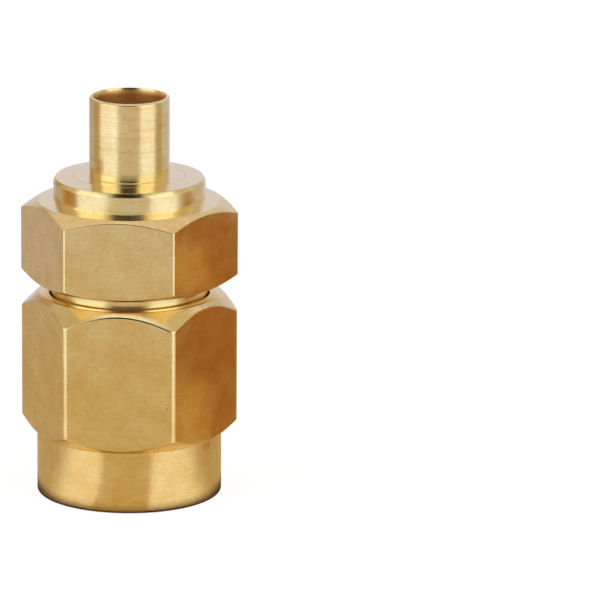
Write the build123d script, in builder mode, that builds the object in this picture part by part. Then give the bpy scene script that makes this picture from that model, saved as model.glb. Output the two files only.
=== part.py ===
from build123d import *
import os
from math import cos, radians, tan

# Threaded plug for coaxial cable, standing on the mouth of its coupling nut.
# Millimetres. Height 0 is the nut's mouth, and the common axis of all turned pieces is +Z.

# Hexagons, the same bar for the nut and the body, 8.0 mm across the flats
nut_groove_wall = 0.36  # from the ring's groove out to the flats, which fixes the size of the bar
hex_corner_radius = 0.27

# Coupling nut, outside
nut_length = 8.7
skirt_step = 0.1  # how far the skirt's wall lies inside the flats
skirt_length = 2.64
skirt_edge_radius = 0.12
skirt_cone_angle = 51  # slope of the cone between skirt and flats, measured from the axis
nut_land_step = 0.19  # how far the rear face's rim lies inside the flats
nut_land_angle = 46  # slope of the rear chamfer, measured from the axis

# Coupling nut, inside: the bore of a 1/4-36 thread, then room for the gasket and the body's barrel
thread_bore_diameter = 5.59
thread_relief = 0.065  # how far the cone behind the thread reaches past the gasket's face
mouth_chamfer = 0.485
rear_bore_edge = 0.08

# Body: front sleeve, barrel, hexagon and collar
reference_depth = 2.5  # how far the sleeve's front face lies inside the mouth
sleeve_diameter = 4.57
sleeve_wall = 0.235
sleeve_length = 2.6
sleeve_edge = 0.08
hex_gap = 0.42  # open gap between the nut and the body's hexagon
hex_length = 3.6
hex_lower_face_step = 0.3  # how far each end face's rim lies inside the flats
hex_upper_face_step = 0.25
hex_lower_chamfer_angle = 66  # both measured from the axis
hex_upper_chamfer_angle = 59
collar_diameter = 6.4
collar_length = 0.94
collar_edge_radius = 0.38

# Swivel: an open ring, half in the body's groove and half in the nut's
swivel_clearance = 0.06  # between the body's barrel and the nut's rear bore
ring_thickness = 0.45
ring_width = 0.5
ring_grip = 0.22  # how far the ring reaches into the nut's groove
ring_inset = 0.9  # from the nut's rear face down to the ring
ring_opening_angle = 34
ring_end_radius = 0.12
ring_side_play = 0.03
ring_radial_play = 0.06
nut_float = 0.25  # axial travel of the nut and its ring on the body

# Gasket round the sleeve
gasket_thickness = 0.7
gasket_width = 0.8
gasket_clearance = 0.275  # from the gasket out to the nut's rear bore
gasket_edge_chamfer = 0.08

# Insulator beads and the contact that they hold
bead_step = 0.3  # how much wider the beads' bore is than the sleeve's, each side
front_bead_head = 1.1
rear_bead_length = 1.4
pin_diameter = 0.914
pin_length = 2.0
pin_taper_length = 0.3
pin_tip_diameter = 0.5
stem_diameter = 1.27
shoulder_diameter = 1.9
shoulder_length = 0.5
cup_diameter = 1.6
cup_reach = 1.8  # solder cup behind the rear bead
cup_bore_diameter = 1.0
cup_bore_depth = 2.4
cup_window_diameter = 0.6

# Cable spigot pressed into the body
spigot_foot_length = 3.06
spigot_length = 3.43
spigot_diameter = 3.38
spigot_wall = 0.24
chamber_diameter = 3.4  # wider room in the foot, round the solder cup
chamber_clearance = 0.2  # from the cup's end to the end of that room
spigot_root_chamfer = 0.07
spigot_edge_radius = 0.09
spigot_mouth_chamfer = 0.09
spigot_mouth_depth = 0.27

# Heights that follow from the sizes above
seat_height = reference_depth + sleeve_length
hex_height = nut_length + hex_gap
collar_height = hex_height + hex_length
body_height = collar_height + collar_length
foot_height = body_height - spigot_foot_length
shoulder_height = foot_height - rear_bead_length
bead_step_height = shoulder_height - front_bead_head
gasket_face_height = seat_height - gasket_thickness
relief_end_height = gasket_face_height + thread_relief
ring_top = nut_length - ring_inset
ring_base = ring_top - ring_thickness

# Radii that follow from the sizes above, worked out from the sleeve outwards to the flats
sleeve_radius = sleeve_diameter / 2
sleeve_bore_radius = sleeve_radius - sleeve_wall
bead_radius = sleeve_bore_radius + bead_step
gasket_radius = sleeve_radius + gasket_width
nut_bore_radius = gasket_radius + gasket_clearance
barrel_radius = nut_bore_radius - swivel_clearance
ring_outer_radius = nut_bore_radius + ring_grip
ring_inner_radius = ring_outer_radius - ring_width
nut_groove_radius = ring_outer_radius + ring_radial_play
body_groove_radius = nut_bore_radius - ring_width - ring_side_play  # the closed ring passes through the nut
flats_radius = nut_groove_radius + nut_groove_wall
hex_tip_radius = flats_radius / cos(radians(30))
spigot_bore_radius = spigot_diameter / 2 - spigot_wall

# Hexagon outline with softened corners, flats towards -Y and +Y
with BuildSketch() as hexagon:
    RegularPolygon(flats_radius, 6, major_radius=False)
    fillet(hexagon.vertices(), hex_corner_radius)


def cone_height(start_radius, angle):
    # height that a cone needs from start_radius out to the hexagon's tips
    return (hex_tip_radius - start_radius) / tan(radians(angle))


# Coupling nut: a hexagon bar turned down to a round skirt and chamfered behind, then bored
with BuildPart() as coupling_nut:
    with BuildSketch(Plane.XY):
        add(hexagon.sketch)
    extrude(amount=nut_length)
    skirt_radius = flats_radius - skirt_step
    land_radius = flats_radius - nut_land_step
    with BuildSketch(Plane.XZ):
        with BuildLine():
            Polyline(
                (0, 0),
                (skirt_radius, 0),
                (skirt_radius, skirt_length),
                (hex_tip_radius, skirt_length + cone_height(skirt_radius, skirt_cone_angle)),
                (hex_tip_radius, nut_length - cone_height(land_radius, nut_land_angle)),
                (land_radius, nut_length),
                (0, nut_length),
                close=True,
            )
        make_face()
    revolve(axis=Axis.Z, mode=Mode.INTERSECT)
    mouth_edges = coupling_nut.edges().group_by(Axis.Z)[0]
    fillet(mouth_edges, skirt_edge_radius)

    bore_radius = thread_bore_diameter / 2
    thread_end_height = relief_end_height - (nut_bore_radius - bore_radius)
    with BuildSketch(Plane.XZ):
        with BuildLine():
            Polyline(
                (0, 0),
                (bore_radius + mouth_chamfer, 0),
                (bore_radius, mouth_chamfer),
                (bore_radius, thread_end_height),
                (nut_bore_radius, relief_end_height),
                (nut_bore_radius, ring_base - ring_side_play),
                (nut_groove_radius, ring_base - ring_side_play),
                (nut_groove_radius, ring_top + ring_side_play),
                (nut_bore_radius, ring_top + ring_side_play),
                (nut_bore_radius, nut_length - rear_bore_edge),
                (nut_bore_radius + rear_bore_edge, nut_length),
                (0, nut_length),
                close=True,
            )
        make_face()
    revolve(axis=Axis.Z, mode=Mode.SUBTRACT)

# Snap ring: flat open ring with rounded ends
with BuildPart() as snap_ring:
    with BuildSketch(Plane.XY.offset(ring_base)):
        Circle(ring_outer_radius)
        Circle(ring_inner_radius, mode=Mode.SUBTRACT)
        opening_reach = 2 * ring_outer_radius
        opening_spread = opening_reach * tan(radians(ring_opening_angle / 2))
        with BuildLine():
            Polyline(
                (0, 0),
                (-opening_spread, -opening_reach),
                (opening_spread, -opening_reach),
                close=True,
            )
        make_face(mode=Mode.SUBTRACT)
    extrude(amount=ring_thickness)
    ring_end_edges = snap_ring.edges().filter_by(Axis.Z)
    fillet(ring_end_edges, ring_end_radius)

# Body: hexagon with both chamfers, then the turned sleeve, barrel and collar, then the bores
with BuildPart() as connector_body:
    with BuildSketch(Plane.XY.offset(hex_height)):
        add(hexagon.sketch)
    extrude(amount=hex_length)
    lower_radius = flats_radius - hex_lower_face_step
    upper_radius = flats_radius - hex_upper_face_step
    with BuildSketch(Plane.XZ):
        with BuildLine():
            Polyline(
                (0, hex_height),
                (lower_radius, hex_height),
                (hex_tip_radius, hex_height + cone_height(lower_radius, hex_lower_chamfer_angle)),
                (hex_tip_radius, collar_height - cone_height(upper_radius, hex_upper_chamfer_angle)),
                (upper_radius, collar_height),
                (0, collar_height),
                close=True,
            )
        make_face()
    revolve(axis=Axis.Z, mode=Mode.INTERSECT)

    groove_base = ring_base - nut_float - ring_side_play
    groove_top = ring_top + ring_side_play
    with BuildSketch(Plane.XZ):
        with BuildLine():
            Polyline(
                (0, reference_depth),
                (sleeve_radius - sleeve_edge, reference_depth),
                (sleeve_radius, reference_depth + sleeve_edge),
                (sleeve_radius, seat_height),
                (barrel_radius, seat_height),
                (barrel_radius, groove_base),
                (body_groove_radius, groove_base),
                (body_groove_radius, groove_top),
                (barrel_radius, groove_top),
                (barrel_radius, hex_height),
                (0, hex_height),
                close=True,
            )
        make_face()
    revolve(axis=Axis.Z)
    with BuildSketch(Plane.XY.offset(collar_height)):
        Circle(collar_diameter / 2)
    extrude(amount=collar_length)
    collar_edge = connector_body.edges().group_by(Axis.Z)[-1]
    fillet(collar_edge, collar_edge_radius)

    with BuildSketch(Plane.XY.offset(reference_depth)):
        Circle(sleeve_bore_radius)
    extrude(amount=bead_step_height - reference_depth, mode=Mode.SUBTRACT)
    with BuildSketch(Plane.XY.offset(bead_step_height)):
        Circle(bead_radius)
    extrude(amount=body_height - bead_step_height, mode=Mode.SUBTRACT)

# Face gasket: rubber ring on the sleeve, in front of the barrel
with BuildPart() as face_gasket:
    with BuildSketch(Plane.XY.offset(gasket_face_height)):
        Circle(gasket_radius)
        Circle(sleeve_radius, mode=Mode.SUBTRACT)
    extrude(amount=gasket_thickness)
    gasket_outer_edges = face_gasket.edges().filter_by(GeomType.CIRCLE).sort_by(SortBy.RADIUS)[-2:]
    chamfer(gasket_outer_edges, gasket_edge_chamfer)

# Front bead: fills the sleeve flush with its face, and has a head behind the body's inner step
with BuildPart() as front_insulator:
    with BuildSketch(Plane.XY.offset(reference_depth)):
        Circle(sleeve_bore_radius)
    extrude(amount=bead_step_height - reference_depth)
    with BuildSketch(Plane.XY.offset(bead_step_height)):
        Circle(bead_radius)
    extrude(amount=front_bead_head)
    with BuildSketch(Plane.XY.offset(reference_depth)):
        Circle(stem_diameter / 2)
    extrude(amount=shoulder_height - reference_depth, mode=Mode.SUBTRACT)

# Rear bead: its pocket takes the contact's shoulder, and the spigot's foot clamps it
with BuildPart() as rear_insulator:
    with BuildSketch(Plane.XY.offset(shoulder_height)):
        Circle(bead_radius)
    extrude(amount=rear_bead_length)
    with BuildSketch(Plane.XY.offset(shoulder_height)):
        Circle(cup_diameter / 2)
    extrude(amount=rear_bead_length, mode=Mode.SUBTRACT)
    with BuildSketch(Plane.XY.offset(shoulder_height)):
        Circle(shoulder_diameter / 2)
    extrude(amount=shoulder_length, mode=Mode.SUBTRACT)

# Centre contact: tapered pin, stem through the front bead, shoulder and solder cup
with BuildPart() as centre_contact:
    pin_radius = pin_diameter / 2
    tip_radius = pin_tip_diameter / 2
    tip_height = reference_depth - pin_length
    cup_end = foot_height + cup_reach
    with BuildSketch(Plane.XZ):
        with BuildLine():
            Polyline(
                (0, tip_height),
                (tip_radius, tip_height),
                (pin_radius, tip_height + pin_taper_length),
                (pin_radius, reference_depth),
                (stem_diameter / 2, reference_depth),
                (stem_diameter / 2, shoulder_height),
                (shoulder_diameter / 2, shoulder_height),
                (shoulder_diameter / 2, shoulder_height + shoulder_length),
                (cup_diameter / 2, shoulder_height + shoulder_length),
                (cup_diameter / 2, cup_end),
                (0, cup_end),
                close=True,
            )
        make_face()
    revolve(axis=Axis.Z)
    tip_edge = centre_contact.edges().group_by(Axis.Z)[0]
    fillet(tip_edge, tip_radius / 2)
    with BuildSketch(Plane.XY.offset(cup_end)):
        Circle(cup_bore_diameter / 2)
    extrude(amount=-cup_bore_depth, mode=Mode.SUBTRACT)
    with BuildSketch(Plane.XZ):
        with Locations((0, foot_height + cup_reach / 2)):
            Circle(cup_window_diameter / 2)
    extrude(amount=cup_diameter, mode=Mode.SUBTRACT)

# Cable spigot: foot pressed into the body, thin tube behind it
with BuildPart() as cable_spigot:
    with BuildSketch(Plane.XY.offset(foot_height)):
        Circle(bead_radius)
    extrude(amount=spigot_foot_length)
    with BuildSketch(Plane.XY.offset(body_height)):
        Circle(spigot_diameter / 2)
    extrude(amount=spigot_length)
    spigot_rims = cable_spigot.edges().filter_by(GeomType.CIRCLE).sort_by(SortBy.RADIUS)[:2]
    fillet(spigot_rims.sort_by(Axis.Z)[-1], spigot_edge_radius)
    chamfer(spigot_rims.sort_by(Axis.Z)[0], spigot_root_chamfer)

    spigot_top = body_height + spigot_length
    chamber_top = foot_height + cup_reach + chamber_clearance
    with BuildSketch(Plane.XZ):
        with BuildLine():
            Polyline(
                (0, foot_height),
                (chamber_diameter / 2, foot_height),
                (chamber_diameter / 2, chamber_top),
                (spigot_bore_radius, chamber_top),
                (spigot_bore_radius, spigot_top - spigot_mouth_depth),
                (spigot_bore_radius + spigot_mouth_chamfer, spigot_top),
                (0, spigot_top),
                close=True,
            )
        make_face()
    revolve(axis=Axis.Z, mode=Mode.SUBTRACT)

os.makedirs("parts", exist_ok=True)

coupling_nut.part.label = "coupling_nut"
snap_ring.part.label = "snap_ring"
connector_body.part.label = "connector_body"
face_gasket.part.label = "face_gasket"
front_insulator.part.label = "front_insulator"
rear_insulator.part.label = "rear_insulator"
centre_contact.part.label = "centre_contact"
cable_spigot.part.label = "cable_spigot"

export_step(coupling_nut.part, "parts/coupling_nut.step")
export_step(snap_ring.part, "parts/snap_ring.step")
export_step(connector_body.part, "parts/connector_body.step")
export_step(face_gasket.part, "parts/face_gasket.step")
export_step(front_insulator.part, "parts/front_insulator.step")
export_step(rear_insulator.part, "parts/rear_insulator.step")
export_step(centre_contact.part, "parts/centre_contact.step")
export_step(cable_spigot.part, "parts/cable_spigot.step")
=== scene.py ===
import bpy
import bmesh
from math import cos, degrees, pi, radians, sin, tan
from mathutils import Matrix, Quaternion, Vector


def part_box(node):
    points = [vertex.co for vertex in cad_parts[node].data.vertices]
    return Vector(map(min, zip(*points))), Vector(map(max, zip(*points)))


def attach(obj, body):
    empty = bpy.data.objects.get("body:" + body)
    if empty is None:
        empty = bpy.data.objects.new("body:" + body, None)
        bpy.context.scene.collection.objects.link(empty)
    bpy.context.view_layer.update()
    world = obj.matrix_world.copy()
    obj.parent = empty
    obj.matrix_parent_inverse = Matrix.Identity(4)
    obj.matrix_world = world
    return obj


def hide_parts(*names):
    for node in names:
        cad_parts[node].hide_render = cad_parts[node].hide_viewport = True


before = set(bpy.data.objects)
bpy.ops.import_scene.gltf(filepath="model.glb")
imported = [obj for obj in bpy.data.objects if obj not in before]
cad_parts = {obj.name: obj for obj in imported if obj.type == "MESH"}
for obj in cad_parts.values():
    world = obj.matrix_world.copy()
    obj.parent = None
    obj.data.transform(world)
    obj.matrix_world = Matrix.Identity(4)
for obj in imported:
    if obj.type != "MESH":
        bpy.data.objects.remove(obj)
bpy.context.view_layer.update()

# Pieces are modelled in millimetres and brought to metres when they are finished
mm = 0.001
fullTurn = 2 * pi
mergeDistance = 0.0004
sliverSize = 0.002
overshoot = 1.0  # how far a cutting tool reaches past the stock
latheSteps = 360  # facets round the axis on the outer pieces
innerSteps = 192  # and on the small pieces inside

print("stage: sizes from the frame")


def nodeBox(node):
    low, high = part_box(node)
    return [v / mm for v in low], [v / mm for v in high]


nutLow, nutHigh = nodeBox("coupling_nut")
bodyLow, bodyHigh = nodeBox("connector_body")
spigotLow, spigotHigh = nodeBox("cable_spigot")
gasketLow, gasketHigh = nodeBox("face_gasket")
beadLow, beadHigh = nodeBox("front_insulator")
pinLow, pinHigh = nodeBox("centre_contact")
ringLow, ringHigh = nodeBox("snap_ring")

flatsRadius = nutHigh[1]  # both hexagons have flats square to Y
tipRadius = flatsRadius / cos(radians(30))


# Modelling helpers

def onlySelect(piece):
    bpy.ops.object.select_all(action="DESELECT")
    piece.select_set(True)
    bpy.context.view_layer.objects.active = piece


def applyModifier(piece, kind, **settings):
    onlySelect(piece)
    modifier = piece.modifiers.new(kind.lower(), kind)
    for name, value in settings.items():
        setattr(modifier, name, value)
    bpy.ops.object.modifier_apply(modifier=modifier.name)


def arc(centreR, centreZ, radius, startAngle, endAngle, steps=6):
    # points of a rounding in the half section, angles in degrees from the outward direction
    angles = [radians(startAngle + (endAngle - startAngle) * i / steps) for i in range(steps + 1)]
    return [(centreR + radius * cos(a), centreZ + radius * sin(a)) for a in angles]


def turned(name, outline, steps=latheSteps):
    # A half section drawn point by point in the XZ plane, then spun once round Z as on a lathe
    bpy.ops.object.select_all(action="DESELECT")
    bpy.ops.mesh.primitive_plane_add(size=1)
    piece = bpy.context.object
    piece.name = name
    bpy.ops.object.mode_set(mode="EDIT")
    bpy.ops.mesh.merge(type="CENTER")
    bpy.ops.transform.translate(value=(outline[0][0], 0, outline[0][1]))
    for (r0, z0), (r1, z1) in zip(outline, outline[1:]):
        bpy.ops.mesh.extrude_vertices_move(TRANSFORM_OT_translate={"value": (r1 - r0, 0, z1 - z0)})
    bpy.ops.mesh.select_all(action="SELECT")
    bpy.ops.mesh.spin(steps=steps, angle=fullTurn, center=(0, 0, 0), axis=(0, 0, 1))
    bpy.ops.mesh.select_all(action="SELECT")
    bpy.ops.mesh.remove_doubles(threshold=mergeDistance)
    bpy.ops.mesh.normals_make_consistent(inside=False)
    bpy.ops.object.mode_set(mode="OBJECT")
    return piece


def hexagonBar(name, low, high, cornerRadius, cornerSteps=8):
    # Six-sided bar with flats square to Y and its upright edges rounded
    bpy.ops.object.select_all(action="DESELECT")
    bpy.ops.mesh.primitive_cylinder_add(
        vertices=6, radius=tipRadius, depth=high - low,
        location=(0, 0, (low + high) / 2), rotation=(0, 0, radians(30)),
    )
    piece = bpy.context.object
    piece.name = name
    bpy.ops.object.transform_apply(location=True, rotation=True, scale=True)
    bpy.ops.object.mode_set(mode="EDIT")
    bpy.ops.mesh.select_all(action="DESELECT")
    bpy.ops.mesh.select_mode(type="EDGE")
    mesh = bmesh.from_edit_mesh(piece.data)
    for edge in mesh.edges:
        run = edge.verts[1].co - edge.verts[0].co
        edge.select_set(abs(run.z) > 0.9 * run.length)  # the upright ones
    bmesh.update_edit_mesh(piece.data)
    bpy.ops.mesh.bevel(offset=cornerRadius * tan(radians(30)), segments=cornerSteps, affect="EDGES")
    bpy.ops.mesh.select_mode(type="VERT")
    bpy.ops.object.mode_set(mode="OBJECT")
    return piece


def cutTogether(piece, other, operation):
    # exact Boolean with a helper solid, which is then deleted, and the slivers that it leaves are merged
    applyModifier(piece, "BOOLEAN", operation=operation, object=other, solver="EXACT")
    bpy.data.objects.remove(other, do_unlink=True)
    onlySelect(piece)
    bpy.ops.object.mode_set(mode="EDIT")
    bpy.ops.mesh.select_all(action="SELECT")
    bpy.ops.mesh.remove_doubles(threshold=sliverSize)
    bpy.ops.mesh.dissolve_degenerate(threshold=sliverSize)
    bpy.ops.object.mode_set(mode="OBJECT")


def softenEdges(piece, width, segments=2, smallestAngle=24):
    applyModifier(
        piece, "BEVEL", width=width, segments=segments, limit_method="ANGLE",
        angle_limit=radians(smallestAngle), use_clamp_overlap=True, miter_outer="MITER_ARC",
    )


def finishPiece(piece, node, body, material, smoothAngle=38):
    # smooth where the surface runs on, to metres, then on its body in the CAD node's place
    onlySelect(piece)
    bpy.ops.object.shade_smooth_by_angle(angle=radians(smoothAngle))
    applyModifier(piece, "WEIGHTED_NORMAL", keep_sharp=True, weight=100)
    piece.scale = (mm, mm, mm)
    bpy.ops.object.transform_apply(location=True, rotation=True, scale=True)
    piece.data.materials.clear()
    piece.data.materials.append(material)
    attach(piece, body)
    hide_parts(node)
    print("piece:", piece.name, len(piece.data.polygons), "faces")


# Material helpers

def hexColour(text):
    # sRGB hex to linear
    values = [int(text[i:i + 2], 16) / 255 for i in (1, 3, 5)]
    return [v / 12.92 if v <= 0.04045 else ((v + 0.055) / 1.055) ** 2.4 for v in values] + [1.0]


def addNode(tree, kind, inputs=None, **settings):
    # one shader node with its settings, its values and its links
    node = tree.nodes.new("ShaderNode" + kind)
    for name, value in settings.items():
        setattr(node, name, value)
    for socket, value in (inputs or {}).items():
        if isinstance(value, bpy.types.NodeSocket):
            tree.links.new(value, node.inputs[socket])
        else:
            node.inputs[socket].default_value = value
    return node


def emptyMaterial(name):
    material = bpy.data.materials.new(name)
    material.use_nodes = True
    material.node_tree.nodes.clear()
    return material, material.node_tree


def goldPlate(name, look):
    # Gold plating over machined brass: warm mirror-like metal that shows the cutter's fine lines, with a
    # painted highlight where its faces point up
    material, tree = emptyMaterial(name)
    place = addNode(tree, "TexCoord")
    inMm = addNode(tree, "Mapping", {"Vector": place.outputs["Object"], "Scale": (1 / mm,) * 3})
    axes = addNode(tree, "SeparateXYZ", {"Vector": inMm.outputs["Vector"]})
    flatPlace = addNode(tree, "CombineXYZ", {"X": axes.outputs["X"], "Y": axes.outputs["Y"]})
    radius = addNode(tree, "VectorMath", {0: flatPlace.outputs[0]}, operation="LENGTH")

    # turned faces: lines round the axis, on cylinders by height and on end faces by radius
    acrossLines = addNode(
        tree, "Math", {0: radius.outputs["Value"], 1: look["lineCount"]}, operation="MULTIPLY"
    )
    upLines = addNode(tree, "Math", {0: axes.outputs["Z"], 1: look["lineCount"]}, operation="MULTIPLY")
    alongX = addNode(tree, "Math", {0: axes.outputs["X"], 1: look["lineBreak"]}, operation="MULTIPLY")
    alongY = addNode(tree, "Math", {0: axes.outputs["Y"], 1: look["lineBreak"]}, operation="MULTIPLY")
    acrossPlusX = addNode(tree, "Math", {0: acrossLines.outputs[0], 1: alongX.outputs[0]}, operation="ADD")
    lineCoords = addNode(
        tree, "CombineXYZ", {"X": acrossPlusX.outputs[0], "Y": alongY.outputs[0], "Z": upLines.outputs[0]}
    )
    lines = addNode(
        tree, "TexNoise", {"Vector": lineCoords.outputs[0], "Scale": 1.0, "Detail": 3.0, "Roughness": 0.6}
    )

    # plated skin: soft cloudy patches, a finer mottle and small pits, one in some of the cells
    clouds = addNode(
        tree, "TexNoise", {"Vector": inMm.outputs["Vector"], "Scale": look["cloudScale"], "Detail": 4.0}
    )
    grain = addNode(
        tree, "TexNoise", {"Vector": inMm.outputs["Vector"], "Scale": look["grainScale"], "Detail": 3.0}
    )
    pitCells = addNode(
        tree, "TexVoronoi", {"Vector": inMm.outputs["Vector"], "Scale": look["pitScale"], "Randomness": 1.0}
    )
    pitRound = addNode(
        tree, "MapRange",
        {"Value": pitCells.outputs["Distance"], "From Min": 0.0, "From Max": look["pitSize"],
         "To Min": 1.0, "To Max": 0.0},
    )
    cellChance = addNode(tree, "SeparateColor", {"Color": pitCells.outputs["Color"]})
    chosen = addNode(tree, "Math", {0: cellChance.outputs[0], 1: look["pitShare"]}, operation="LESS_THAN")
    pits = addNode(
        tree, "Math", {0: pitRound.outputs["Result"], 1: chosen.outputs[0]}, operation="MULTIPLY"
    )

    # colour: deeper in the patches, warmer along the lines, darker in the pits
    mottle = addNode(
        tree, "Mix", {"Factor": look["grainShare"], 2: clouds.outputs["Fac"], 3: grain.outputs["Fac"]},
        data_type="FLOAT",
    )
    patchShade = addNode(
        tree, "MapRange",
        {"Value": mottle.outputs[0], "From Min": look["patchRange"][0], "From Max": look["patchRange"][1]},
    )
    tint = addNode(
        tree, "Mix",
        {"Factor": patchShade.outputs[0], 6: hexColour(look["deep"]), 7: hexColour(look["bright"])},
        data_type="RGBA",
    )
    lineShade = addNode(
        tree, "MapRange",
        {"Value": lines.outputs["Fac"],
         "From Min": look["lineRange"][0], "From Max": look["lineRange"][1],
         "To Min": 0.0, "To Max": look["lineShade"]},
    )
    lined = addNode(
        tree, "Mix",
        {"Factor": lineShade.outputs[0], 6: tint.outputs[2], 7: hexColour(look["lineColour"])},
        data_type="RGBA",
    )
    pitShade = addNode(tree, "Math", {0: pits.outputs[0], 1: look["pitShade"]}, operation="MULTIPLY")
    pitted = addNode(
        tree, "Mix",
        {"Factor": pitShade.outputs[0], 6: lined.outputs[2], 7: hexColour(look["pitColour"])},
        data_type="RGBA",
    )

    # painted highlight: paler where the surface faces up along the axis, standing in for the bright light
    # that the end faces reflect
    around = addNode(tree, "SeparateXYZ", {"Vector": place.outputs["Normal"]})
    upFacingHighlight = addNode(
        tree, "MapRange",
        {"Value": around.outputs["Z"], "From Min": look["highlightRiseRange"][0], "From Max": look["highlightRiseRange"][1]},
    )
    highlighted = addNode(
        tree, "Mix",
        {"Factor": upFacingHighlight.outputs[0], 6: pitted.outputs[2], 7: hexColour(look["paintedHighlightColour"])},
        data_type="RGBA",
    )

    # roughness: wider gloss in the patches and along the lines
    roughLow = addNode(
        tree, "MapRange",
        {"Value": clouds.outputs["Fac"],
         "From Min": look["roughRange"][0], "From Max": look["roughRange"][1],
         "To Min": look["smoothest"], "To Max": look["roughest"]},
    )
    lineRough = addNode(
        tree, "Math", {0: lines.outputs["Fac"], 1: look["lineRough"]}, operation="MULTIPLY"
    )
    roughness = addNode(tree, "Math", {0: roughLow.outputs[0], 1: lineRough.outputs[0]}, operation="ADD")

    # relief: heights in metres, so that Bump keeps a distance of 1
    wave = addNode(
        tree, "TexNoise", {"Vector": inMm.outputs["Vector"], "Scale": look["waveScale"], "Detail": 1.0}
    )
    height = None
    for source, depth in (
        (lines.outputs["Fac"], look["lineDepth"]), (grain.outputs["Fac"], look["grainDepth"]),
        (wave.outputs["Fac"], look["waveDepth"]), (pits.outputs[0], -look["pitDepth"]),
    ):
        layer = addNode(tree, "Math", {0: source, 1: depth * mm}, operation="MULTIPLY")
        if height:
            layer = addNode(tree, "Math", {0: height.outputs[0], 1: layer.outputs[0]}, operation="ADD")
        height = layer
    relief = addNode(tree, "Bump", {"Strength": 1.0, "Distance": 1.0, "Height": height.outputs[0]})

    colour, finish = highlighted.outputs[2], roughness.outputs[0]
    if "innerRadius" in look:
        # reamed inside of a tube: duller and deeper in colour
        inside = addNode(
            tree, "MapRange",
            {"Value": radius.outputs["Value"],
             "From Min": look["innerRadius"], "From Max": look["innerRadius"] + look["innerFade"],
             "To Min": 1.0, "To Max": 0.0},
        )
        colour = addNode(
            tree, "Mix",
            {"Factor": inside.outputs[0], 6: colour, 7: hexColour(look["innerColour"])}, data_type="RGBA",
        ).outputs[2]
        finish = addNode(
            tree, "Mix", {"Factor": inside.outputs[0], 2: finish, 3: look["innerRough"]}, data_type="FLOAT",
        ).outputs[0]
    metal = addNode(
        tree, "BsdfPrincipled",
        {"Base Color": colour, "Metallic": 1.0, "Roughness": finish, "Normal": relief.outputs["Normal"]},
    )
    addNode(tree, "OutputMaterial", {"Surface": metal.outputs["BSDF"]})
    return material


print("stage: materials")

# Gold plating on milled and tumbled hexagon bar: satin, mottled, with the odd pit. Counts and scales are per
# mm, sizes and depths in mm, and the mottle is coarser than the real grain, so that it shows
milledLook = {
    # the paler colour for faces that point up is a painted highlight, standing in for the light that those
    # faces reflect
    "bright": "#FCE5A6", "deep": "#F3D48E", "pitColour": "#8A6A35", "pitShade": 0.6, "paintedHighlightColour": "#FEEBBC",
    "lineColour": "#E9B368", "lineShade": 0.25,
    "smoothest": 0.15, "roughest": 0.21, "lineRough": 0.05,
    "lineCount": 9.0, "lineBreak": 0.5, "lineDepth": 0.0012,
    "cloudScale": 1.1, "grainScale": 5.0, "grainDepth": 0.0014, "grainShare": 0.4,
    "pitScale": 2.2, "pitSize": 0.1, "pitShare": 0.5, "pitDepth": 0.003,
    "waveScale": 0.45, "waveDepth": 0.014,
    # noise levels between which an effect grows to its full strength, and for the painted highlight on
    # up-facing ends the normal's rise
    "patchRange": (0.38, 0.62), "lineRange": (0.5, 0.75), "roughRange": (0.3, 0.7),
    "highlightRiseRange": (0.93, 0.98),
}
nutGold = goldPlate("goldPlatedNut", milledLook)
bodyGold = goldPlate("goldPlatedBody", milledLook)
# Gold plating on a turned tube: the cutter's lines show more, and the reamed inside is duller
spigotGold = goldPlate("goldPlatedSpigot", {
    **milledLook, "lineShade": 0.6, "lineDepth": 0.002, "waveDepth": 0.004,
    "innerRadius": 1.5, "innerFade": 0.03, "innerColour": "#F7C87E", "innerRough": 0.4,
})
# Gold plating on a polished pin: brighter, with hardly a line
contactGold = goldPlate("goldPlatedContact", {
    **milledLook, "smoothest": 0.1, "roughest": 0.15, "lineDepth": 0.0004,
})


def simpleMaterial(name, colour, deep, roughness, noiseScale, depth, **sockets):
    # one base finish with a faint change of shade and a fine relief
    material, tree = emptyMaterial(name)
    place = addNode(tree, "TexCoord")
    inMm = addNode(tree, "Mapping", {"Vector": place.outputs["Object"], "Scale": (1 / mm,) * 3})
    shade = addNode(
        tree, "TexNoise", {"Vector": inMm.outputs["Vector"], "Scale": noiseScale, "Detail": 4.0}
    )
    tint = addNode(
        tree, "Mix", {"Factor": shade.outputs["Fac"], 6: hexColour(colour), 7: hexColour(deep)},
        data_type="RGBA",
    )
    height = addNode(tree, "Math", {0: shade.outputs["Fac"], 1: depth * mm}, operation="MULTIPLY")
    relief = addNode(tree, "Bump", {"Strength": 1.0, "Distance": 1.0, "Height": height.outputs[0]})
    surface = addNode(
        tree, "BsdfPrincipled",
        {"Base Color": tint.outputs[2], "Roughness": roughness, "Normal": relief.outputs["Normal"],
         **sockets},
    )
    addNode(tree, "OutputMaterial", {"Surface": surface.outputs["BSDF"]})
    return material


# Silicone rubber: matt brick red with a soft skin
gasketRubber = simpleMaterial(
    "siliconeRubber", "#B8402E", "#A33524", roughness=0.55, noiseScale=6.0, depth=0.004, IOR=1.41,
)
# Fluoroplastic, machined: white, waxy, light goes a little way in
beadPlastic = simpleMaterial(
    "fluoroplastic", "#F3F2EC", "#E9E7DF", roughness=0.38, noiseScale=3.0, depth=0.002,
    IOR=1.35, **{"Subsurface Weight": 0.3, "Subsurface Radius": (0.0006, 0.0006, 0.0005)},
)
# Spring bronze, bare and drawn: brown metal with a dull gloss
ringBronze = simpleMaterial(
    "springBronze", "#B98A5C", "#A67B50", roughness=0.3, noiseScale=8.0, depth=0.001, Metallic=1.0,
)

print("stage: coupling nut")

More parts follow.
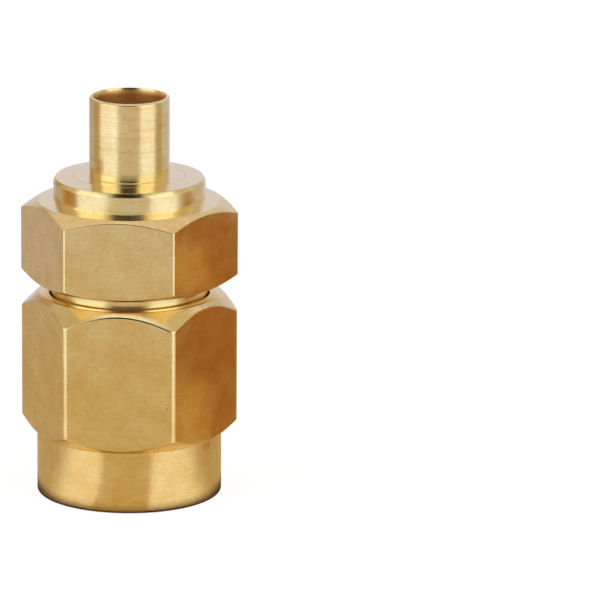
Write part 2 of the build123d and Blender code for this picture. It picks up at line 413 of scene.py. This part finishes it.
nut = {
    "cornerRadius": 0.27, "edgeWidth": 0.035,
    "skirtRadius": 3.9, "skirtLength": 2.64, "skirtEdge": 0.12, "skirtConeAngle": 51,
    "landRadius": 3.81, "landAngle": 46,
    "threadBore": 2.795, "mouthChamfer": 0.485, "reliefEnd": 4.465, "rearBore": 3.36,
    "grooveRadius": 3.64, "groovePlay": 0.03, "boreEdge": 0.08,
    "pitch": 0.7056, "threadDepth": 0.38, "crestWidth": 0.044, "threadStart": -0.5, "threadEnd": 4.3,
    "threadInside": 0.095, "threadSteps": 96, "arcWidth": 0.1,
}


def turnedEnvelope(
    name, low, high, lowRadius, lowRise, lowAngle, highRadius, highAngle, edge=0, landFall=0, landRadius=0
):
    # what the lathe leaves of the bar: a wall or cone below, a cone above, and a land inside the upper cone
    # that may fall outwards from the land radius
    outside = tipRadius + overshoot
    lowCone = lowRise + (outside - lowRadius) / tan(radians(lowAngle))
    highCone = (outside - highRadius) / tan(radians(highAngle))
    outline = [(0, low)]
    if edge:
        outline += arc(lowRadius - edge, low + edge, edge, -90, 0)
    else:
        outline += [(lowRadius, low)]
    if lowRise:
        outline += [(lowRadius, low + lowRise)]
    landEdge = high - landFall
    outline += [(outside, low + lowCone), (outside, landEdge - highCone)]
    outline += [(highRadius, landEdge)]
    outline += [(landRadius, high), (0, high)] if landFall else [(0, high)]
    return turned(name, outline)


def makeNut():
    low, high = nutLow[2], nutHigh[2]
    shell = hexagonBar("couplingNut", low, high, nut["cornerRadius"])
    envelope = turnedEnvelope(
        "nutEnvelope", low, high, nut["skirtRadius"], nut["skirtLength"], nut["skirtConeAngle"],
        nut["landRadius"], nut["landAngle"], nut["skirtEdge"],
    )
    cutTogether(shell, envelope, "INTERSECT")
    softenTopArcs(shell, nut["arcWidth"])
    bore, rear, over = nut["threadBore"], nut["rearBore"], overshoot
    grooveLow, grooveHigh = ringLow[2] - nut["groovePlay"], ringHigh[2] + nut["groovePlay"]
    hollow = turned("nutHollow", [
        (0, low - over), (bore + nut["mouthChamfer"] + over, low - over), (bore, low + nut["mouthChamfer"]),
        (bore, nut["reliefEnd"] - (rear - bore)), (rear, nut["reliefEnd"]),
        (rear, grooveLow), (nut["grooveRadius"], grooveLow),
        (nut["grooveRadius"], grooveHigh), (rear, grooveHigh),
        (rear, high - nut["boreEdge"]), (rear + nut["boreEdge"] + over, high + over), (0, high + over),
    ])
    cutTogether(shell, hollow, "DIFFERENCE")
    softenEdges(shell, nut["edgeWidth"])
    cutTogether(shell, threadCutter(bore), "DIFFERENCE")
    return shell


def softenTopArcs(piece, width, segments=3):
    # wider rounding where the upper cone meets the upright flats and corners
    uprightBelow, coneAbove, coneBelow = 0.05, 0.5, 0.8  # how far up their normals point
    onlySelect(piece)
    bpy.ops.object.mode_set(mode="EDIT")
    bpy.ops.mesh.select_all(action="DESELECT")
    bpy.ops.mesh.select_mode(type="EDGE")
    mesh = bmesh.from_edit_mesh(piece.data)
    mesh.normal_update()
    for edge in mesh.edges:
        rises = sorted(face.normal.z for face in edge.link_faces)
        betweenTwo = len(rises) == 2
        edge.select_set(betweenTwo and abs(rises[0]) < uprightBelow and coneAbove < rises[1] < coneBelow)
    bmesh.update_edit_mesh(piece.data)
    bpy.ops.mesh.bevel(offset=width, offset_type="WIDTH", segments=segments, affect="EDGES")
    bpy.ops.mesh.select_mode(type="VERT")
    bpy.ops.object.mode_set(mode="OBJECT")


def threadCutter(bore):
    # V profile of the screw thread, carried up a helix by Screw
    inner, outer = bore - nut["threadInside"], bore + nut["threadDepth"]
    crest = nut["crestWidth"]
    root = crest + (outer - inner) * tan(radians(30))
    corners = [(inner, -root), (outer, -crest), (outer, crest), (inner, root)]
    bpy.ops.object.select_all(action="DESELECT")
    bpy.ops.mesh.primitive_plane_add(size=1)
    cutter = bpy.context.object
    cutter.name = "threadCutter"
    bpy.ops.object.mode_set(mode="EDIT")
    mesh = bmesh.from_edit_mesh(cutter.data)
    # round the plane's corners: along its front edge to the right, then along its back edge to the left
    inOrder = sorted(mesh.verts, key=lambda v: (v.co.y, v.co.x * (1 if v.co.y < 0 else -1)))
    for vert, (r, z) in zip(inOrder, corners):
        vert.co = (r, 0, z + nut["threadStart"])
    bmesh.update_edit_mesh(cutter.data)
    bpy.ops.mesh.delete(type="ONLY_FACE")
    bpy.ops.object.mode_set(mode="OBJECT")
    turns = (nut["threadEnd"] - nut["threadStart"]) / nut["pitch"]
    steps = round(turns * nut["threadSteps"])
    applyModifier(
        cutter, "SCREW", axis="Z", angle=fullTurn * turns, screw_offset=nut["pitch"] * turns,
        iterations=1, steps=steps, render_steps=steps,
    )
    onlySelect(cutter)
    bpy.ops.object.mode_set(mode="EDIT")
    bpy.ops.mesh.select_all(action="SELECT")
    bpy.ops.mesh.fill_holes(sides=0)
    bpy.ops.mesh.select_all(action="SELECT")
    bpy.ops.mesh.normals_make_consistent(inside=False)
    bpy.ops.object.mode_set(mode="OBJECT")
    return cutter


finishPiece(makeNut(), "coupling_nut", "nut", nutGold)

print("stage: body")

shank = {
    "cornerRadius": 0.15, "edgeWidth": 0.035,
    "lowerFaceRadius": 3.7, "lowerAngle": 66, "upperFaceRadius": 3.84, "upperAngle": 59, "landFall": 0.08,
    "hexLow": 9.12, "hexHigh": 12.73,
    "sleeveRadius": 2.285, "sleeveBore": 2.05, "sleeveEdge": 0.08, "seat": 5.1, "barrelRadius": 3.3,
    "grooveRadius": 2.83, "grooveLow": 7.07, "grooveHigh": 7.83,
    "collarRadius": 3.2, "rimBevel": 0.075, "rimBevelHeight": 0.16, "rimDrop": 0.024, "faceRise": 0.064,
    "rimFoot": (0.006, 0.03), "rimTop": (0.02, 0.014),  # how far the bevel's ends are rounded, across and up
    "seamEdge": 0.016, "beadStep": 8.1, "beadRadius": 2.35,
    "rootBelow": 0.5,  # barrel and collar run this far into the hexagon
}


def makeBody():
    s = shank
    bar = hexagonBar("connectorBody", s["hexLow"], s["hexHigh"], s["cornerRadius"])
    envelope = turnedEnvelope(
        "bodyEnvelope", s["hexLow"], s["hexHigh"], s["lowerFaceRadius"], 0, s["lowerAngle"],
        s["upperFaceRadius"], s["upperAngle"], landFall=s["landFall"], landRadius=s["collarRadius"],
    )
    cutTogether(bar, envelope, "INTERSECT")
    softenEdges(bar, s["edgeWidth"], smallestAngle=20)
    top = bodyHigh[2]
    rim = top - s["rimDrop"]
    front = bodyLow[2]
    bevelFoot = rim - s["rimBevelHeight"]
    bevelTop = s["collarRadius"] - s["rimBevel"]
    faceTop = rim + s["faceRise"]
    core = turned("bodyCore", [
        (0, front), (s["sleeveRadius"] - s["sleeveEdge"], front),
        (s["sleeveRadius"], front + s["sleeveEdge"]),
        (s["sleeveRadius"], s["seat"]), (s["barrelRadius"], s["seat"]),
        (s["barrelRadius"], s["grooveLow"]), (s["grooveRadius"], s["grooveLow"]),
        (s["grooveRadius"], s["grooveHigh"]), (s["barrelRadius"], s["grooveHigh"]),
        (s["barrelRadius"], s["hexLow"] + s["rootBelow"]), (s["collarRadius"], s["hexLow"] + s["rootBelow"]),
        # steep bevel at the rim, and an end face that rises a little towards the spigot
        (s["collarRadius"], bevelFoot - s["rimFoot"][1]), (s["collarRadius"] - s["rimFoot"][0], bevelFoot),
        (bevelTop, rim - s["rimTop"][1]), (bevelTop - s["rimTop"][0], rim),
        (s["beadRadius"] + s["seamEdge"], faceTop), (s["beadRadius"], faceTop - s["seamEdge"]),
        (0, faceTop - s["seamEdge"]),
    ])
    cutTogether(bar, core, "UNION")
    hollow = turned("bodyHollow", [
        (0, front - overshoot), (s["sleeveBore"] + s["sleeveEdge"] + overshoot, front - overshoot),
        (s["sleeveBore"], front + s["sleeveEdge"]), (s["sleeveBore"], s["beadStep"]),
        (s["beadRadius"], s["beadStep"]), (s["beadRadius"], top + overshoot), (0, top + overshoot),
    ])
    cutTogether(bar, hollow, "DIFFERENCE")
    return bar


finishPiece(makeBody(), "connector_body", "shell", bodyGold)

print("stage: cable spigot")

tube = {
    "tubeRadius": 1.69, "boreRadius": 1.45, "chamberRadius": 1.7, "chamberHigh": 12.6,
    "footRise": 0.044, "footEdge": 0.014, "rootRadius": 0.015, "edgeRadius": 0.09,
    "mouthChamfer": 0.09, "mouthDepth": 0.27,
}


def makeSpigot():
    t = tube
    foot, top, step = spigotLow[2], spigotHigh[2], bodyHigh[2]
    footRadius = spigotHigh[0]
    return turned("cableSpigot", [
        (t["chamberRadius"], foot), (footRadius, foot),
        # the foot runs on from the collar's face
        *arc(footRadius - t["footEdge"], step + t["footRise"] - t["footEdge"], t["footEdge"], 0, 90, 3),
        (t["tubeRadius"] + t["rootRadius"], step + t["footRise"]),
        (t["tubeRadius"], step + t["footRise"] + t["rootRadius"]),
        *arc(t["tubeRadius"] - t["edgeRadius"], top - t["edgeRadius"], t["edgeRadius"], 0, 90, 6),
        (t["boreRadius"] + t["mouthChamfer"], top), (t["boreRadius"], top - t["mouthDepth"]),
        (t["boreRadius"], t["chamberHigh"]), (t["chamberRadius"], t["chamberHigh"]),
        (t["chamberRadius"], foot),
    ])


finishPiece(makeSpigot(), "cable_spigot", "shell", spigotGold)

print("stage: contact, beads and gasket")

contact = {
    "pinRadius": 0.457, "tipRadius": 0.25, "taperLength": 0.3, "tipRound": 0.125,
    "stemRadius": 0.635, "shoulderRadius": 0.95, "shoulderLow": 9.2, "shoulderHigh": 9.7,
    "cupRadius": 0.8, "cupBore": 0.5, "cupDepth": 2.4,
    "windowRadius": 0.3, "windowHeight": 11.5, "windowReach": 2, "turnSteps": 96, "windowSteps": 48,
}


def makeContact():
    c = contact
    tip, end = pinLow[2], pinHigh[2]
    pin = turned("centreContact", [
        (0, tip), *arc(c["tipRadius"] - c["tipRound"], tip + c["tipRound"], c["tipRound"], -90, -25, 5),
        (c["pinRadius"], tip + c["taperLength"]), (c["pinRadius"], beadLow[2]),
        (c["stemRadius"], beadLow[2]),
        (c["stemRadius"], c["shoulderLow"]), (c["shoulderRadius"], c["shoulderLow"]),
        (c["shoulderRadius"], c["shoulderHigh"]), (c["cupRadius"], c["shoulderHigh"]),
        (c["cupRadius"], end), (c["cupBore"], end), (c["cupBore"], end - c["cupDepth"]),
        (0, end - c["cupDepth"]),
    ], steps=c["turnSteps"])
    # solder window in the cup's front wall
    bpy.ops.object.select_all(action="DESELECT")
    bpy.ops.mesh.primitive_cylinder_add(
        vertices=c["windowSteps"], radius=c["windowRadius"], depth=c["windowReach"],
        location=(0, -c["windowReach"] / 2, c["windowHeight"]), rotation=(radians(90), 0, 0),
    )
    cutTogether(pin, bpy.context.object, "DIFFERENCE")
    return pin


finishPiece(makeContact(), "centre_contact", "shell", contactGold)


gasketEdge = 0.08  # rounding of its outer edges


def makeGasket():
    inner, outer = shank["sleeveRadius"], gasketHigh[0]
    low, high, edge = gasketLow[2], gasketHigh[2], gasketEdge
    return turned("faceGasket", [
        (inner, low), *arc(outer - edge, low + edge, edge, -90, 0, 5),
        *arc(outer - edge, high - edge, edge, 0, 90, 5), (inner, high), (inner, low),
    ], steps=innerSteps)


finishPiece(makeGasket(), "face_gasket", "shell", gasketRubber)


def makeFrontBead():
    stem, sleeve, head = contact["stemRadius"], shank["sleeveBore"], beadHigh[0]
    low, step, high = beadLow[2], shank["beadStep"], beadHigh[2]
    return turned("frontInsulator", [
        (stem, low), (sleeve, low), (sleeve, step), (head, step), (head, high), (stem, high), (stem, low),
    ], steps=innerSteps)


finishPiece(makeFrontBead(), "front_insulator", "shell", beadPlastic)

# hidden pieces keep their solids and only get their finish
for node, material in (("rear_insulator", beadPlastic), ("snap_ring", ringBronze)):
    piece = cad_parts[node]
    for slot in piece.material_slots:
        slot.material = material

print("stage: floor, cards, lights and camera")

room = {
    "floorSize": 2.0, "floorDrop": 0.00001, "floorPaint": "#F4F4F4",
    "floorGlow": 1.06, "glowShare": 0.8,  # the rest is paint, which keeps the shadow
    "plainStrength": 0.7, "seenStrength": 1.0, "seenInMetal": (1.0, 1.07, 1.3, 1),
}
bpy.ops.object.select_all(action="DESELECT")
bpy.ops.mesh.primitive_plane_add(size=room["floorSize"], location=(0, 0, -room["floorDrop"]))
floor = bpy.context.object
floor.name = "paleFloor"
floorMaterial, tree = emptyMaterial("paleFloor")
paint = addNode(tree, "BsdfDiffuse", {"Color": hexColour(room["floorPaint"])})
glow = addNode(tree, "Emission", {"Color": (1, 1, 1, 1), "Strength": room["floorGlow"]})
rays = addNode(tree, "LightPath")
keepShadow = addNode(
    tree, "Math", {0: rays.outputs["Is Camera Ray"], 1: room["glowShare"]}, operation="MULTIPLY"
)
white = addNode(tree, "MixShader", {0: keepShadow.outputs[0], 1: paint.outputs[0], 2: glow.outputs[0]})
addNode(tree, "OutputMaterial", {"Surface": white.outputs[0]})
floor.data.materials.append(floorMaterial)
floor.visible_glossy = False  # the metal shows the cards and what stands round the table instead

world = bpy.data.worlds.new("paleRoom")
bpy.context.scene.world = world
world.use_nodes = True
tree = world.node_tree
tree.nodes.clear()
rays = addNode(tree, "LightPath")
seen = rays.outputs["Is Camera Ray"]
for ray in ("Is Glossy Ray", "Is Transmission Ray"):
    seen = addNode(tree, "Math", {0: seen, 1: rays.outputs[ray]}, operation="MAXIMUM").outputs[0]
strength = addNode(
    tree, "MapRange", {"Value": seen, "To Min": room["plainStrength"], "To Max": room["seenStrength"]}
)
cool = addNode(
    tree, "Mix", {"Factor": rays.outputs["Is Glossy Ray"], 6: (1, 1, 1, 1), 7: room["seenInMetal"]},
    data_type="RGBA",
)
roomLight = addNode(tree, "Background", {"Color": cool.outputs[2], "Strength": strength.outputs[0]})
addNode(tree, "OutputWorld", {"Surface": roomLight.outputs[0]})


def onlyInMetal(piece):
    # a card is seen in the metal and nowhere else
    for ray in ("camera", "diffuse", "transmission", "shadow"):
        setattr(piece, "visible_" + ray, False)


def cardMaterial(glowColour, cover, tree, material, strength=1.0):
    # light of the card, and nothing where its cover fades out
    glow = addNode(tree, "Emission", {"Color": glowColour, "Strength": strength})
    clear = addNode(tree, "BsdfTransparent")
    mixed = addNode(tree, "MixShader", {0: cover, 1: clear.outputs[0], 2: glow.outputs[0]})
    addNode(tree, "OutputMaterial", {"Surface": mixed.outputs[0]})
    return material


def softRange(tree, value, low, high, fade):
    # 1 between low and high, with soft ends inside them
    ends = [
        addNode(
            tree, "MapRange", {"Value": value, "From Min": start, "From Max": full},
            interpolation_type="SMOOTHSTEP",
        ).outputs[0]
        for start, full in ((low, low + fade), (high, high - fade))
    ]
    return addNode(tree, "Math", {0: ends[0], 1: ends[1]}, operation="MULTIPLY").outputs[0]


def sphereAngles(tree, turn, apex=(0, 0)):
    # azimuth from the direction `turn` and elevation of a point round the apex, in degrees
    place = addNode(tree, "TexCoord")
    fromApex = addNode(
        tree, "VectorMath", {0: place.outputs["Object"], 1: (apex[0] * mm, apex[1] * mm, 0)},
        operation="SUBTRACT",
    )
    spun = addNode(
        tree, "VectorRotate", {"Vector": fromApex.outputs[0], "Angle": radians(-turn)},
        rotation_type="Z_AXIS",
    )
    unit = addNode(tree, "VectorMath", {0: spun.outputs[0]}, operation="NORMALIZE")
    axes = addNode(tree, "SeparateXYZ", {"Vector": unit.outputs[0]})
    back = addNode(tree, "Math", {0: axes.outputs["Y"], 1: -1.0}, operation="MULTIPLY")
    around = addNode(tree, "Math", {0: axes.outputs["X"], 1: back.outputs[0]}, operation="ARCTAN2")
    rise = addNode(tree, "Math", {0: axes.outputs["Z"]}, operation="ARCSINE")
    return [
        addNode(tree, "Math", {0: angle.outputs[0], 1: degrees(1)}, operation="MULTIPLY").outputs[0]
        for angle in (around, rise)
    ]


# Standing cards, from the nearest to the furthest: across is the azimuth from the front towards +X and up
# the elevation, in degrees
standingCards = {
    "frontDark": {"across": (-24, 31), "up": (6, 62), "fade": 4, "colour": "#21150A"},
    "frontFar": {"across": (-31, 41), "up": (-20, 5), "fade": 8, "colour": "#CCC5C3"},
    "lampLeft": {"across": (-84, -28), "up": (-3, 42), "fade": 5, "colour": "#E6F3FF", "strength": 1.5},
    "lampRight": {"across": (34, 84), "up": (-3, 42), "fade": 5, "colour": "#E6F3FF", "strength": 1.5},
    "midLeft": {"across": (-124, -20), "up": (4, 68), "fade": 8, "colour": "#C3B9A2"},
    "midRight": {"across": (26, 118), "up": (4, 68), "fade": 8, "colour": "#C9BFA8"},
    "leftHigh": {"across": (-144, -92), "up": (4, 42), "fade": 8, "colour": "#B19779"},
    "leftTan": {"across": (-127, -80), "up": (-80, 24), "fade": 13, "colour": "#B4A17E"},
    "leftWall": {"across": (-160, -112), "up": (-80, 50), "fade": 14, "colour": "#BBB2B8"},
    "rightTan": {"across": (78, 122), "up": (-80, 24), "fade": 13, "colour": "#B5A88B"},
    "rightWall": {"across": (108, 160), "up": (-80, 50), "fade": 14, "colour": "#C5C3CF"},
    "backWall": {"across": (140, 220), "up": (-80, 62), "fade": 12, "colour": "#D8D6E6"},
    "overhead": {"across": (65, 295), "up": (40, 88), "fade": 10, "colour": "#DFD4CC"},
}
cardDistance = 0.15
cardStep = 0.001
cardFaces = 180  # round the whole sphere


def standCard(name, card, distance):
    # part of a sphere round the object, cut out by azimuth and elevation, with soft edges
    bpy.ops.object.select_all(action="DESELECT")
    bpy.ops.mesh.primitive_uv_sphere_add(segments=cardFaces, ring_count=cardFaces // 2, radius=distance)
    piece = bpy.context.object
    piece.name = name
    middle = (card["across"][0] + card["across"][1]) / 2
    half = (card["across"][1] - card["across"][0]) / 2
    aim = Vector((sin(radians(middle)), -cos(radians(middle))))
    bpy.ops.object.mode_set(mode="EDIT")
    bpy.ops.mesh.select_all(action="DESELECT")
    bpy.ops.mesh.select_mode(type="FACE")
    mesh = bmesh.from_edit_mesh(piece.data)
    for face in mesh.faces:
        centre = face.calc_center_median()
        level = Vector((centre.x, centre.y))
        elevation = degrees(Vector((level.length, centre.z)).angle_signed(Vector((1, 0))))
        inHeight = card["up"][0] < elevation < card["up"][1]
        face.select_set(not (inHeight and degrees(level.angle(aim)) < half))
    bmesh.update_edit_mesh(piece.data)
    bpy.ops.mesh.delete(type="FACE")
    bpy.ops.object.mode_set(mode="OBJECT")
    material, tree = emptyMaterial(name)
    around, rise = sphereAngles(tree, middle)
    sides = softRange(tree, around, -half, half, card["fade"])
    ends = softRange(tree, rise, card["up"][0], card["up"][1], card["fade"])
    cover = addNode(tree, "Math", {0: sides, 1: ends}, operation="MULTIPLY").outputs[0]
    strength = card.get("strength", 1.0)
    piece.data.materials.append(cardMaterial(hexColour(card["colour"]), cover, tree, material, strength))
    onlyInMetal(piece)


for place, (name, card) in enumerate(standingCards.items()):
    standCard(name, card, cardDistance + place * cardStep)

# The table as the metal shows it: tan in front, browner at the sides, and dark brown close to the object,
# where a contact shadow is painted
tableCard = {
    "reach": 140.0, "sides": 96, "firstDrop": 0.02, "dropStep": 0.01,
    "front": (-25.1, 39.8), "frontApex": (-0.63, -1.39), "frontFade": 7,
    # the first tone, dark at the object's foot, is painted contact shadow
    "tones": ((4.0, "#4A2E18"), (5.2, "#C6AA7C"), (9.0, "#C8B088"), (24.0, "#C9B690"), (50.0, "#CCC5C3")),
    "left": (-178, -47), "leftColour": "#BDA98C", "right": (61, 175), "rightColour": "#BCA47C",
    "sideFade": 35, "sideReach": 45.0, "sideEdge": 20.0,
    "shadowReach": 5.5, "shadowColour": "#4A2E18",
    "glowFrom": 14.0, "glowReach": 34.0, "glowColour": "#F6E8D6",
}


def layCard(name, low, colourAt, coverAt):
    # disc on the table, coloured and cleared by functions of its tree
    bpy.ops.object.select_all(action="DESELECT")
    bpy.ops.mesh.primitive_circle_add(
        vertices=tableCard["sides"], radius=tableCard["reach"] * mm, fill_type="NGON",
        location=(0, 0, low * mm),
    )
    piece = bpy.context.object
    piece.name = name
    bpy.ops.object.transform_apply(location=True, rotation=True, scale=True)
    material, tree = emptyMaterial(name)
    place = addNode(tree, "TexCoord")
    away = addNode(tree, "VectorMath", {0: place.outputs["Object"]}, operation="LENGTH")
    awayMm = addNode(tree, "Math", {0: away.outputs["Value"], 1: 1 / mm}, operation="MULTIPLY").outputs[0]
    colour = colourAt(tree, awayMm)
    piece.data.materials.append(cardMaterial(colour, coverAt(tree, awayMm), tree, material))
    onlyInMetal(piece)


def tableTones(tree, awayMm):
    # colour by distance from the axis, on a ramp that runs to the card's reach
    share = addNode(tree, "Math", {0: awayMm, 1: tableCard["reach"]}, operation="DIVIDE")
    ramp = addNode(tree, "ValToRGB", {"Fac": share.outputs[0]})
    stops = ramp.color_ramp.elements
    for i, (distance, colour) in enumerate(tableCard["tones"]):
        stop = stops[i] if i < 2 else stops.new(distance / tableCard["reach"])
        stop.position = distance / tableCard["reach"]
        stop.color = hexColour(colour)
    return ramp.outputs["Color"]


def frontSector(tree, awayMm):
    middle = (tableCard["front"][0] + tableCard["front"][1]) / 2
    half = (tableCard["front"][1] - tableCard["front"][0]) / 2
    around = sphereAngles(tree, middle, tableCard["frontApex"])[0]
    return softRange(tree, around, -half, half, tableCard["frontFade"])


def sideSector(side):
    middle = (tableCard[side][0] + tableCard[side][1]) / 2
    half = (tableCard[side][1] - tableCard[side][0]) / 2

    def cover(tree, awayMm):
        around = sphereAngles(tree, middle)[0]
        sides = softRange(tree, around, -half, half, tableCard["sideFade"])
        ends = softRange(tree, awayMm, -tableCard["sideEdge"], tableCard["sideReach"], tableCard["sideEdge"])
        return addNode(tree, "Math", {0: sides, 1: ends}, operation="MULTIPLY").outputs[0]
    return cover


def fadeAway(start, end):
    # full near the object, gone at the end distance
    def cover(tree, awayMm):
        fade = addNode(
            tree, "MapRange",
            {"Value": awayMm, "From Min": start, "From Max": end, "To Min": 1.0, "To Max": 0.0},
            interpolation_type="SMOOTHSTEP",
        )
        return fade.outputs[0]
    return cover


def plainTone(name):
    return lambda tree, awayMm: hexColour(tableCard[name])


# from the top down
tableLayers = (
    ("tableFront", tableTones, frontSector),
    ("tableShadow", plainTone("shadowColour"), fadeAway(nutHigh[1], tableCard["shadowReach"])),
    ("tableLeft", plainTone("leftColour"), sideSector("left")),
    ("tableRight", plainTone("rightColour"), sideSector("right")),
    ("tableGlow", plainTone("glowColour"), fadeAway(tableCard["glowFrom"], tableCard["glowReach"])),
)
for place, (name, colourAt, coverAt) in enumerate(tableLayers):
    layCard(name, -tableCard["firstDrop"] - place * tableCard["dropStep"], colourAt, coverAt)

# Upright cards close to the object, nearest first, in mm: `along` runs to the front at the right side and to
# the back at the left side
sideCards = {
    "rightGlowHigh": {
        "azimuth": 113.5, "distance": 10.6, "along": (2.9, 5.2), "up": (6.6, 9.6), "fade": 0.9,
        "colour": "#C99A58",
    },
    "rightGlowLow": {
        "azimuth": 113.5, "distance": 10.8, "along": (2.9, 4.9), "up": (-0.6, 3.4), "fade": 0.9,
        "colour": "#CEA65E",
    },
    "rightBrown": {
        "azimuth": 113.5, "distance": 11.0, "along": (0.7, 5.9), "up": (-7.0, 11.1), "fade": 0.4,
        "colour": "#9C6630",
    },
    "leftBrown": {
        "azimuth": -97.0, "distance": 11.0, "along": (-6.0, -0.3), "up": (9.4, 12.2), "fade": 0.5,
        "colour": "#A87A3C",
    },
}


def standSideCard(name, c):
    out = Vector((sin(radians(c["azimuth"])), -cos(radians(c["azimuth"])), 0))
    along = Vector((out.y, -out.x, 0))
    middle = out * c["distance"] + along * sum(c["along"]) / 2 + Vector((0, 0, sum(c["up"]) / 2))
    bpy.ops.object.select_all(action="DESELECT")
    bpy.ops.mesh.primitive_plane_add(
        size=1, location=middle * mm, rotation=(radians(90), 0, radians(c["azimuth"]))
    )
    piece = bpy.context.object
    piece.name = name
    piece.scale = ((c["along"][1] - c["along"][0]) * mm, (c["up"][1] - c["up"][0]) * mm, 1)
    bpy.ops.object.transform_apply(location=True, rotation=True, scale=True)
    material, tree = emptyMaterial(name)
    place = addNode(tree, "TexCoord")
    inMm = addNode(tree, "Mapping", {"Vector": place.outputs["Object"], "Scale": (1 / mm,) * 3})
    across = addNode(tree, "VectorMath", {0: inMm.outputs["Vector"], 1: along}, operation="DOT_PRODUCT")
    axes = addNode(tree, "SeparateXYZ", {"Vector": inMm.outputs["Vector"]})
    sides = softRange(tree, across.outputs["Value"], *c["along"], c["fade"])
    ends = softRange(tree, axes.outputs["Z"], *c["up"], c["fade"])
    cover = addNode(tree, "Math", {0: sides, 1: ends}, operation="MULTIPLY").outputs[0]
    piece.data.materials.append(cardMaterial(hexColour(c["colour"]), cover, tree, material))
    onlyInMetal(piece)


for name, card in sideCards.items():
    standSideCard(name, card)


def towards(azimuth, elevation):
    # unit vector to a place at these angles
    a, e = radians(azimuth), radians(elevation)
    return Vector((sin(a) * cos(e), -cos(a) * cos(e), sin(e)))


softLights = {"azimuths": {"softLeft": -60, "softRight": 60}, "elevation": 40, "distance": 0.4, "size": 0.3,
              "power": 0.6}


def softLight(name, azimuth):
    # square lamp that faces the object
    direction = towards(azimuth, softLights["elevation"])
    bpy.ops.object.light_add(type="AREA", location=direction * softLights["distance"])
    lamp = bpy.context.object
    lamp.name = name
    lamp.data.size = softLights["size"]
    lamp.data.energy = softLights["power"]
    lamp.rotation_euler = direction.to_track_quat("Z", "Y").to_euler()
    lamp.visible_glossy = False


for name, azimuth in softLights["azimuths"].items():
    softLight(name, azimuth)

view = {
    "azimuth": 6.5, "elevation": 16.3, "distance": 280.0, "pixelsPerMm": 23.5,
    "pictureWidth": 600, "spotX": 130.8, "spotY": 489.0, "sensor": 36.0, "roll": 0.42,
    "clip": (0.01, 5.0), "aimRounds": 4,
}


def aimCamera():
    # a long lens, aimed so that the middle of the mouth falls on its spot in the picture
    station = towards(view["azimuth"], view["elevation"]) * view["distance"] * mm
    right = (view["pictureWidth"] / 2 - view["spotX"]) / view["pixelsPerMm"] * mm
    up = (view["spotY"] - view["pictureWidth"] / 2) / view["pixelsPerMm"] * mm
    forward = -station.normalized()
    for again in range(view["aimRounds"]):
        across = forward.cross(Vector((0, 0, 1))).normalized()
        forward = (across * right + across.cross(forward) * up - station).normalized()
    bpy.ops.object.camera_add(location=station)
    camera = bpy.context.object
    camera.name = "pictureCamera"
    level = forward.to_track_quat("-Z", "Y")
    camera.rotation_euler = (level @ Quaternion((0, 0, 1), radians(view["roll"]))).to_euler()
    camera.data.sensor_width = view["sensor"]
    camera.data.lens = view["sensor"] * view["pixelsPerMm"] * view["distance"] / view["pictureWidth"]
    camera.data.clip_start, camera.data.clip_end = view["clip"]
    bpy.context.scene.camera = camera


aimCamera()
bpy.context.scene.view_settings.view_transform = "Standard"
